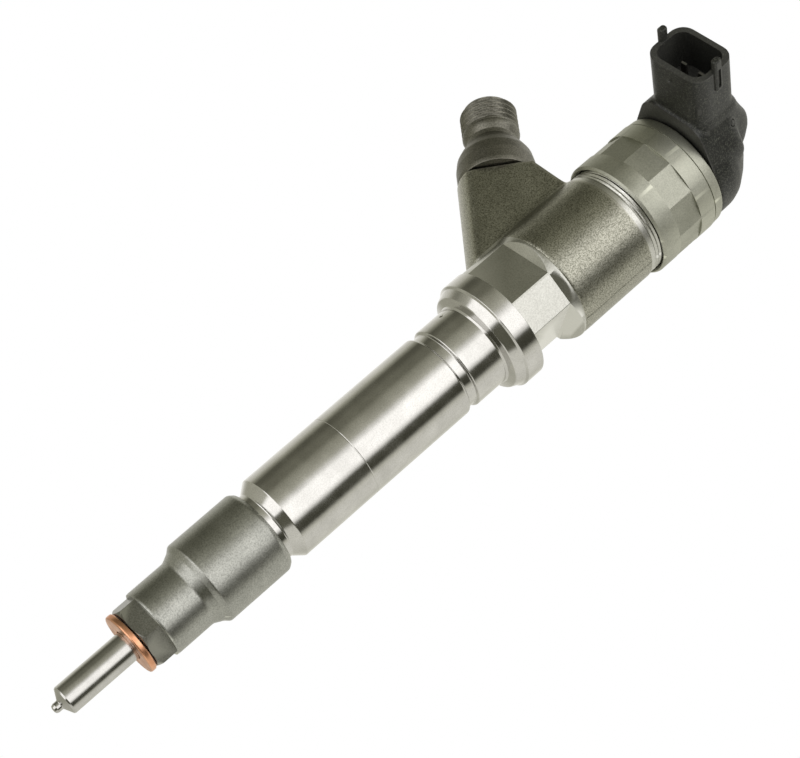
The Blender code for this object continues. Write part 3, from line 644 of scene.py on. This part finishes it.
def build_nozzle_nut(finishes):
    """Union nut: hexagon with a chamfered start, thin neck, S-shaped shoulder and rounded top."""
    hexagon_top = NUT + 4.6
    hexagon_radius = 8.25
    outline = [
        (7.2, NUT, 0.25),
        (hexagon_radius, NUT + 1.0, 0.3),
        (hexagon_radius, hexagon_top),
        (R_NUT_NECK, NUT + 5.3, 0.3),
        (R_NUT_NECK, NUT + 14.9, 2.0),
        (R_NUT_NECK + 1.1, NUT + 17.1, 0.6),
        (R_NUT, NUT + 18.2, 0.9),
        (R_NUT, NUT_TOP - 1.1, 1.2),
        (9.7, NUT_TOP, 0.4),
        (8.9, NUT_TOP, 0.1),
        (8.9, SPLIT + 0.2),
        (7.2, SPLIT - 0.6),
        (7.2, NUT + 5.7),
        (R_SHANK_BORE, NUT + 5.2),
        (R_SHANK_BORE, NUT, 0.2),
    ]
    piece = turned("nozzle_nut_shell", outline)
    cut(piece, die(6, 7.15, NUT - 1.0, hexagon_top + 0.2, 99.2))
    softened(piece, 0.12)
    # The hexagon's faces take the darker copy of the nut's steel, painted shade.
    take_finishes(piece, finishes["nut_steel"], finishes["nut_hexagon"])
    body, hexagon = 0, 1
    for face in piece.data.polygons:
        x, y, z = face.center / MM
        on_hexagon = z < hexagon_top + 0.1 and math.hypot(x, y) > 6.6
        face.material_index = hexagon if on_hexagon else body
    return piece


# ---------------------------------------------------------------- holder


def inlet_frame():
    """Carries +Z onto the inlet's axis."""
    return Matrix.Translation((0.0, 0.0, INLET_FOOT * MM)) @ Matrix.Rotation(INLET_LEAN, 4, "Y")


def ridge(phase):
    """Height of a 60 degree thread at a share of its pitch, from 0 in the root to 1 on the crest."""
    across = abs(2.0 * (phase % 1.0) - 1.0)
    return min(1.0, max(0.0, (across - 0.08) / 0.8))


def threaded(start, end, pitch, depth, crest):
    """A shift for turned(): a helical thread between two heights, faded at its start."""
    def shift(angle, radius, height):
        if not start <= height <= end or radius < crest - 0.02:
            return radius
        fade = min(1.0, (height - start) / pitch)
        return radius - depth * fade * (1.0 - ridge(height / pitch - angle / math.tau))
    return shift


def rows(radius, start, end, step):
    """Evenly spaced points up a cylinder, dense enough for a thread."""
    count = max(1, round((end - start) / step))
    return [(radius, start + (end - start) * index / count) for index in range(count + 1)]


def holder_outline():
    """Outside and bores of the holder as turned, up the outside and down through the bores."""
    mark = 0.09
    return [
        (3.4, HOLDER, 0.2),
        (8.5, HOLDER, 0.6),
        (8.5, NUT_TOP + 1.5, 0.5),
        (R_BARREL, BARREL, 0.5),
        (R_BARREL, RING_LINE - 0.16),
        (R_BARREL - mark, RING_LINE - 0.07),
        (R_BARREL - mark, RING_LINE + 0.07),
        (R_BARREL, RING_LINE + 0.16),
        (R_BARREL, BARREL_TOP - 0.3, 0.7),
        (9.7, BARREL_TOP + 0.25, 0.25),
        (9.7, GROOVE_TOP - 0.25, 0.25),
        (R_BARREL, GROOVE_TOP + 0.05, 0.35),
        (R_BARREL, COLLAR - 3.0, 0.3),
        (R_BARREL + 0.3, COLLAR - 2.55, 0.15),
        (12.55, COLLAR - 2.1, 0.15),
        (12.75, COLLAR - 1.9, 0.1),
        (13.65, COLLAR + 0.15, 0.15),
        (R_COLLAR, COLLAR + 0.5, 0.2),
        (R_COLLAR, FLATS - 0.05, 0.12),
        (13.9, FLATS + 0.1),
        (13.9, FLATS_TOP),
        (R_FORGING, FORGING - 0.1, 0.1),
        (R_FORGING - 0.1, FORGING),
        (R_FORGING - 0.8, FORGING + 0.2),
        (R_FORGING - 0.8, THREAD - 0.3),
        *rows(R_THREAD, THREAD, HOLDER_TOP - 0.6, 0.1),
        (R_THREAD - 0.6, HOLDER_TOP, 0.1),
        (9.9, HOLDER_TOP, 0.2),
        (9.9, HOLDER_TOP - 12.0),
        (8.8, HOLDER_TOP - 12.0),
        (8.8, HOLDER_TOP - 20.0),
        (4.4, HOLDER_TOP - 20.0),
        (4.4, HOLDER_TOP - 33.0),
        (2.2, HOLDER_TOP - 33.0),
        (2.2, HOLDER + 23.0),
        (3.4, HOLDER + 23.0),
    ]


def flat_cutter(azimuth, apothem):
    """Mills one flat, with a run-out that slopes up and out from the flat's top edge."""
    rise = 2.0 / (R_FORGING + 0.3 - apothem)
    outside = 24.0
    run_out = FLATS_TOP + rise * (outside - apothem)
    side = [(apothem, FLATS), (outside, FLATS), (outside, run_out), (apothem, FLATS_TOP)]
    block = prism("flat", side, -16.0, 16.0)
    stand = Matrix.Rotation(math.radians(90.0), 4, "X")
    return placed(block, Matrix.Rotation(math.radians(azimuth), 4, "Z") @ stand)


def punch_mark(azimuth, height):
    """The point of a centre punch, set against the barrel."""
    point = turned("punch", [(0.0, -0.6), (0.55, 0.0), (0.55, 2.0), (0.0, 2.0)], 24)
    spin = Matrix.Rotation(math.radians(azimuth), 4, "Z")
    spot = spin @ Matrix.Translation((R_BARREL * MM, 0.0, height * MM))
    return placed(point, spot @ Matrix.Rotation(math.radians(90.0), 4, "Y"))


def build_turned_holder():
    """Lower stub, ground barrel, groove, collar, wrench flats and head thread."""
    pitch, depth = 1.0, 0.38
    thread = threaded(THREAD + 1.0, HOLDER_TOP, pitch, depth, R_THREAD)
    piece = turned("holder_shell", holder_outline(), 240, thread)
    for azimuth, apothem in WRENCH_FLATS:
        cut(piece, flat_cutter(azimuth, apothem))
    cut(piece, punch_mark(54.3, COLLAR - 5.6))
    return softened(piece, 0.09, 28.0)


def web_outline():
    """Side view (x, z) of the plate between the boss and the thread's shoulder."""
    lean = Vector((math.sin(INLET_LEAN), math.cos(INLET_LEAN)))
    across = Vector((lean.y, -lean.x))
    end = Vector((0.0, INLET_FOOT)) + lean * (INLET_SEAM + 2.0)
    top = THREAD + 3.0
    reach = end.x + across.x * (top - end.y) / across.y
    return [
        (4.0, FLATS + 4.0),
        (13.0, FLATS + 6.0),
        tuple(end),
        (reach, top),
        (4.0, top),
    ]


def build_boss():
    """Round, slightly tapered boss about the inlet's axis, with two flat sides and soft edges."""
    foot, end = 9.0, INLET_SEAM + 2.0
    steps = 12
    outline = [(0.0, foot)]
    for step in range(steps + 1):
        share = step / steps
        outline.append((R_INLET_COLLAR + 0.7 - 0.47 * share, foot + (end - foot) * share))
    outline.append((0.0, end))
    boss = turned("boss", outline, 144)
    sides = prism("sides", rectangle(-14.0, 14.0, BOSS_HALF), foot - 3.0, end + 3.0, 1.0)
    combine(boss, sides, "INTERSECT")
    return placed(boss, inlet_frame())


def build_forging():
    """The forged head: a cylinder that melts into the flat-sided inlet boss, then machined at its ends."""
    piece = rod("forging", R_FORGING - 0.02, FORGING - 0.4, THREAD + 4.0, 160)
    web = prism("web", web_outline(), -BOSS_HALF + 0.3, BOSS_HALF - 0.3)
    join(piece, placed(web, Matrix.Rotation(math.radians(90.0), 4, "X")))
    join(piece, build_boss())
    remeshed(piece, 0.42, 40)
    cut(piece, rod("above", 40.0, THREAD, THREAD + 12.0))
    below = rod("below", 16.2, FORGING - 9.0, FORGING)
    boss_side = prism("boss_side", rectangle(0.0, 30.0, 9.0), FORGING - 12.0, FORGING + 3.0)
    cut(piece, cut(below, boss_side))
    seam = INLET_SEAM - 0.3
    cut(piece, placed(rod("end_face", 20.0, seam, seam + 9.0), inlet_frame()))
    return softened(piece, 0.25, 50.0)


def paint_holder(piece):
    """Gives each face of the holder its finish by where it lies: ground, machined or forged."""
    ground, machined, forged = 0, 1, 2
    for face in piece.data.polygons:
        x, y, z = face.center / MM
        reach = math.hypot(x, y)
        if reach > R_FORGING + 0.1 and z > FLATS + 0.3:
            face.material_index = forged
        elif FORGING - 0.02 < z < THREAD - 0.02 and reach > R_FORGING - 0.35:
            face.material_index = forged
        elif FLATS - 0.4 < z < FORGING or z > THREAD - 0.1 or reach < R_BARREL - 2.2:
            face.material_index = machined
        else:
            face.material_index = ground


def build_holder(finishes):
    """The holder in one piece, with the inlet's socket bored into the boss."""
    piece = build_turned_holder()
    core = rod("core", 13.0, HOLDER - 1.0, THREAD + 20.0, 64)
    join(piece, cut(build_forging(), core))
    radius, outside = 5.3, INLET_SEAM + 3.0
    outline = [(0.0, 14.0), (radius, INLET_STEM - 0.3), (radius, outside), (0.0, outside)]
    cut(piece, placed(turned("socket", outline, 64), inlet_frame()))
    take_finishes(piece, *[finishes[name] for name in ("ground_steel", "machined_steel", "forged_steel")])
    paint_holder(piece)
    return piece


# ---------------------------------------------------------------- inlet


def build_inlet():
    """Inlet stud: stem, domed collar, neck, helical M14 x 1.5 thread and conical pipe seat."""
    outline = [
        (5.0, INLET_STEM),
        (5.0, INLET_SEAM + 0.15),
        (R_INLET_COLLAR - 0.15, INLET_SEAM + 0.15, 0.25),
        (R_INLET_COLLAR, INLET_SEAM + 1.2, 0.6),
        (R_INLET_COLLAR, INLET_COLLAR_TOP, 2.0),
        (R_INLET_COLLAR - 0.45, INLET_COLLAR_TOP + 2.6, 2.0),
        (R_INLET_COLLAR - 1.5, INLET_COLLAR_TOP + 4.6, 2.0),
        (R_INLET_NECK + 0.55, INLET_NECK - 1.2, 0.8),
        (R_INLET_NECK, INLET_NECK, 0.4),
        (R_INLET_NECK, INLET_NECK + 1.2, 0.3),
        (R_INLET_THREAD - 0.3, INLET_THREAD - 1.2, 0.2),
        *rows(R_INLET_THREAD, INLET_THREAD - 0.3, INLET_END - 0.75, 0.125),
        (R_INLET_THREAD - 0.9, INLET_END, 0.15),
        (4.2, INLET_END, 0.1),
        (1.85, INLET_END - 4.0),
        (1.85, INLET_STEM),
    ]
    pitch, depth = 1.5, 0.62
    thread = threaded(INLET_THREAD - 0.25, INLET_END, pitch, depth, R_INLET_THREAD)
    return placed(turned("inlet_fitting", outline, 160, thread), inlet_frame())


# ---------------------------------------------------------------- head nut


def build_head_nut():
    """Head nut with twelve flats, a fine ring line near its top and chamfered ends."""
    line = HEAD_NUT_TOP - 2.9
    outline = [
        (R_THREAD_BORE, HEAD_NUT + 0.5, 0.1),
        (R_THREAD + 0.7, HEAD_NUT, 0.15),
        (R_HEAD_NUT - 0.45, HEAD_NUT, 0.2),
        (R_HEAD_NUT, HEAD_NUT + 0.6, 0.3),
        (R_HEAD_NUT, line - 0.2),
        (R_HEAD_NUT - 0.35, line - 0.12),
        (R_HEAD_NUT - 0.35, line + 0.12),
        (R_HEAD_NUT - 0.12, line + 0.2),
        (R_HEAD_NUT - 0.3, HEAD_NUT_TOP - 0.3, 0.4),
        (R_HEAD_NUT - 0.7, HEAD_NUT_TOP, 0.3),
        (R_CAP_BORE, HEAD_NUT_TOP, 0.1),
        (R_CAP_BORE, HOLDER_TOP + 4.7),
        (13.2, HOLDER_TOP + 4.7),
        (13.2, HOLDER_TOP + 0.8),
        (R_THREAD_BORE, HOLDER_TOP + 0.4),
    ]
    piece = turned("head_nut_shell", outline, 240)
    cut(piece, die(12, 14.8, HEAD_NUT + 5.3, HEAD_NUT + 12.4, 98.7))
    return softened(piece, 0.05, 20.0)


# ---------------------------------------------------------------- cap


def plug_frame():
    """+Z out along the plug's axis from the rim, +X across the opening."""
    aim = Matrix(((1.0, 0.0, 0.0), (0.0, 0.0, 1.0), (0.0, -1.0, 0.0))).to_4x4()
    swing = Matrix.Rotation(math.radians(-1.6), 4, "Z")
    return Matrix.Translation((PLUG_X * MM, RIM * MM, PLUG_Z * MM)) @ swing @ aim


def upright():
    """Carries an outline drawn as (y, z) and extruded along X."""
    return Matrix(((0.0, 0.0, 1.0), (1.0, 0.0, 0.0), (0.0, 1.0, 0.0))).to_4x4()


def build_dome():
    """Round base and low dome over the solenoid."""
    outline = [
        (0.0, CAP),
        (R_CAP - 0.05, CAP),
        (R_CAP - 0.05, CAP + 1.8, 2.0),
        (R_CAP - 0.1, CAP + 4.8, 3.0),
        (R_CAP - 0.8, CAP + 7.2, 2.0),
        (R_CAP - 3.1, DOME_TOP - 5.8, 2.0),
        (R_CAP - 6.0, DOME_TOP - 2.4, 2.0),
        (R_CAP - 9.0, DOME_TOP - 0.6, 2.0),
        (0.0, DOME_TOP),
    ]
    return turned("plug_cap", outline, 128)


def build_neck():
    """Straight-sided flare from the dome to the root of the shroud."""
    half = SHROUD[0] / 2
    outline = [
        (12.7, 6.4),
        (PLUG_X + half, SHROUD_ROOT - 0.5),
        (PLUG_X - half, SHROUD_ROOT - 0.5),
        (-12.7, 6.4),
        (-10.0, -2.0),
        (10.0, -2.0),
    ]
    return prism("neck", outline, CAP - 4.0, PLUG_Z + SHROUD[1] / 2 - 1.4, 3.0)


def build_hump():
    """Rounded back over the terminals."""
    half = SHROUD[0] / 2
    profile = [
        (0.0, CAP + 1.0),
        (SHROUD_ROOT + 1.5, CAP + 1.0),
        (SHROUD_ROOT + 1.5, PLUG_Z + SHROUD[1] / 2 - 0.2),
        (SHROUD_ROOT - 2.5, CAP_TOP - 3.4),
        (SHROUD_ROOT - 5.5, CAP_TOP - 2.0),
        (SHROUD_ROOT - 8.5, CAP_TOP - 0.4),
        (SHROUD_ROOT - 10.5, CAP_TOP),
        (SHROUD_ROOT - 12.5, CAP_TOP),
        (3.0, CAP_TOP - 1.0),
        (0.0, CAP_TOP - 2.2),
    ]
    return placed(prism("hump", profile, -half, half, 3.0), upright())


def latch_lug(side):
    """A round-topped bar on the end of the shroud, slotted for the plug's wire clip."""
    length = LUG_TIP - RIM - 0.35
    lug = prism("lug", rounded_corners(1.7, 2.3, 0.7), -5.6, length, 0.35)
    place = Matrix.Translation((side * (SHROUD[0] / 2 - 0.15) * MM, 0.0, 0.0))
    slot = prism("slot", rounded_corners(3.0, 0.9, 0.3), -4.8, length - 2.6)
    placed(slot, Matrix.Translation((side * 1.7 * MM, 0.0, 0.0)))
    return placed(cut(lug, slot), plug_frame() @ place)


def add_mould_marks(piece):
    """Two small nubs and a round ejector mark, as moulding leaves them."""
    nubs = (((1.4, 28.5, PLUG_Z - 6.3), (0.0, 0.0, -1.0)), ((-8.0, 16.6, PLUG_Z - 4.6), (-0.86, 0.51, 0.0)))
    for foot, way in nubs:
        nub = turned("nub", [(0.0, -0.9), (0.55, -0.9), (0.55, 0.05), (0.35, 0.3), (0.0, 0.35)], 16)
        join(piece, placed(nub, pointing(foot, way)))
    ring = turned("ejector", [(0.7, -0.25), (1.0, -0.25), (1.0, 0.9), (0.7, 0.9)], 32)
    cut(piece, placed(ring, pointing((-8.9, 14.0, PLUG_Z + 3.0), (-0.87, 0.38, 0.31))))


def terminal_channel(side):
    """Room for one terminal: a level blade in the plug, and a bend down to its foot."""
    node = ("terminal_a", "terminal_b")[side > 0]
    lowest, highest = low(node), high(node)
    gap = 0.3
    thickness = 0.6
    foot = lowest.y
    underside = 2 * PLUG_Z - highest.z - gap
    path = [
        (foot - gap, lowest.z - gap),
        (foot + thickness + gap, lowest.z - gap),
        (foot + thickness + gap, underside),
        (highest.y + gap, underside),
        (highest.y + gap, highest.z + gap),
        (foot - gap, highest.z + gap),
    ]
    return placed(prism("channel", path, lowest.x - gap, highest.x + gap), upright())


def build_cap():
    """Moulded cap: one soft skin over dome, neck, hump and shroud, then the crisp rim, cavity and lugs."""
    piece = build_dome()
    join(piece, build_neck())
    join(piece, build_hump())
    depth = RIM - SHROUD_ROOT
    shroud = prism("shroud", rounded_corners(SHROUD[0] + 0.1, SHROUD[1] - 0.2, 3.6), -depth - 2.0, 3.0)
    join(piece, placed(shroud, plug_frame()))
    remeshed(piece, 0.36, 12)
    beyond = prism("beyond", rounded_corners(40.0, 40.0, 2.0), 0.0, 9.0)
    cut(piece, placed(beyond, plug_frame()))
    cut(piece, rod("under", 30.0, CAP - 5.0, CAP, 64))
    add_mould_marks(piece)
    for side in (-1, 1):
        join(piece, latch_lug(side))
    cavity = prism("cavity", rounded_corners(*OPENING, 2.9), -10.5, 9.0)
    cut(piece, placed(cavity, plug_frame()))
    cut(piece, rod("recess", R_CAP_BORE, CAP - 1.0, HEAD_NUT_TOP + 1.5, 96))
    for side in (-1, 1):
        cut(piece, terminal_channel(side))
    return softened(piece, 0.18, 40.0)


# ---------------------------------------------------------------- scene


def finish_piece(piece, node, finish=None, angle=35.0):
    """Puts a piece on the injector's body in place of its CAD node, with one finish or those it has."""
    if finish:
        take_finishes(piece, finish)
    shaded(piece, angle)
    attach(piece, "injector")
    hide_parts(node)
    return node


def dress_cad_nodes(finishes, replaced):
    """The inner pieces keep their CAD shape and take the finish of their material slot."""
    for name, node in frame["nodes"].items():
        if name not in replaced:
            take_finishes(node, finishes[SLOTS[name]])


def studio_world():
    """White to the camera, and to the steel strip lights and dark flags round the injector's axis."""
    world = bpy.data.worlds.new("studio")
    bpy.context.scene.world = world
    world.use_nodes = True
    tree = world.node_tree
    background = tree.nodes["Background"]
    way = tree.nodes.new("ShaderNodeTexCoord").outputs["Generated"]
    from_viewer = add(tree, "ShaderNodeVectorRotate", {"Vector": way, "Angle": -math.radians(VIEW_AZIMUTH)},
                      rotation_type="Z_AXIS").outputs["Vector"]
    axes = add(tree, "ShaderNodeSeparateXYZ", {"Vector": from_viewer})
    angle = math_node(tree, "ARCTAN2", axes.outputs["Y"], axes.outputs["X"])
    share = math_node(tree, "MULTIPLY_ADD", angle, 1.0 / math.tau, 0.5)
    level = band_ramp(tree, share, (
        (-180, 0.60), (-160, 0.58), (-130, 0.42), (-117, 0.22), (-105, 0.075), (-94, 0.08), (-80, 0.115),
        (-62, 0.12), (-50, 0.21), (-32, 0.29), (-24, 0.35), (-15, 0.60), (-5, 1.0), (28, 1.0), (36, 0.62),
        (43, 0.05), (66, 0.035), (76, 0.40), (84, 0.50), (100, 0.53), (128, 0.50), (144, 0.44), (160, 0.46),
        (180, 0.55)))
    below = band_ramp(tree, share, (
        (-180, 0.28), (-110, 0.28), (-76, 0.35), (-68, 1.0), (-10, 1.0), (-2, 0.08), (54, 0.08), (62, 0.5),
        (120, 0.5), (180, 0.28)))
    upward = spread(tree, axes.outputs["Z"], -0.3, -0.05)
    light = mix_colour(tree, upward, below, level)
    tint = (1.75, 1.74, 1.70)
    bright = add(tree, "ShaderNodeVectorMath", {0: light, 1: tint}, operation="MULTIPLY").outputs[0]
    to_camera = add(tree, "ShaderNodeLightPath").outputs["Is Camera Ray"]
    elsewhere = math_node(tree, "MULTIPLY_ADD", to_camera, -1.0, 1.0)
    seen = mix_colour(tree, elsewhere, (1.0, 1.0, 1.0), bright)
    tree.links.new(seen, background.inputs["Color"])
    background.inputs["Strength"].default_value = 1.0


def band_ramp(tree, share, stops):
    """A ramp of (degrees from the view direction, brightness) stops round the axis. Darker is warmer."""
    node = add(tree, "ShaderNodeValToRGB", {"Fac": share})
    ramp = node.color_ramp
    while len(ramp.elements) < len(stops):
        ramp.elements.new(0.5)
    for element, (degrees, value) in zip(ramp.elements, stops):
        element.position = degrees / 360.0 + 0.5
        warm = 0.72 + 0.27 * min(1.0, 1.5 * value)
        element.color = (value, 0.99 * value, warm * value, 1.0)
    return node.outputs["Color"]


def build_floor():
    """A pale floor under the nozzle's tip, clear when seen from below."""
    bm = bmesh.new()
    bmesh.ops.create_grid(bm, x_segments=1, y_segments=1, size=3.0)
    bmesh.ops.translate(bm, verts=bm.verts, vec=(0.0, 0.0, (TIP - 0.4) * MM))
    floor = linked("floor", bm)
    made, tree, shader, place = new_material("floor_paper")
    mottle = noise(tree, place, 4.0, 3.0)
    colour = mix_colour(tree, mottle, (0.86, 0.86, 0.85), (0.90, 0.90, 0.89))
    connect(tree, shader, base_color=colour, roughness=0.9)
    clear = tree.nodes.new("ShaderNodeBsdfTransparent").outputs["BSDF"]
    back = tree.nodes.new("ShaderNodeNewGeometry").outputs["Backfacing"]
    mix = add(tree, "ShaderNodeMixShader", {0: back, 1: shader.outputs["BSDF"], 2: clear})
    tree.links.new(mix.outputs["Shader"], tree.nodes["Material Output"].inputs["Surface"])
    take_finishes(floor, made)
    floor.visible_glossy = False
    floor.visible_diffuse = False


def build_camera():
    """The photographer's place: 0.44 m off and a little below the nozzle, looking up along the injector."""
    lens = bpy.data.cameras.new("camera")
    lens.sensor_width = 36.0
    lens.lens = 94.5
    lens.clip_start = 0.01
    camera = bpy.data.objects.new("camera", lens)
    camera.location = (-0.22904, 0.38056, (TIP - 40.02) * MM)
    camera.rotation_euler = (-1.1091, -2.33737, 0.20913)
    bpy.context.scene.collection.objects.link(camera)
    bpy.context.scene.camera = camera


def main():
    """Seven pieces are built anew and replace their CAD nodes. The other nodes keep their CAD shape."""
    finishes = make_materials()
    replaced = [
        finish_piece(build_shank(), "nozzle_body", finishes["nozzle_steel"]),
        finish_piece(build_washer(), "sealing_washer", finishes["copper"]),
        finish_piece(build_nozzle_nut(finishes), "nozzle_nut"),
        finish_piece(build_holder(finishes), "holder_body"),
        finish_piece(build_inlet(), "inlet_stud", finishes["phosphated_steel"]),
        finish_piece(build_head_nut(), "solenoid_nut", finishes["plated_steel"], 8.0),
        finish_piece(build_cap(), "connector_cap", finishes["black_plastic"]),
    ]
    dress_cad_nodes(finishes, replaced)
    studio_world()
    build_floor()
    build_camera()
    bpy.context.scene.view_settings.view_transform = "Standard"


main()
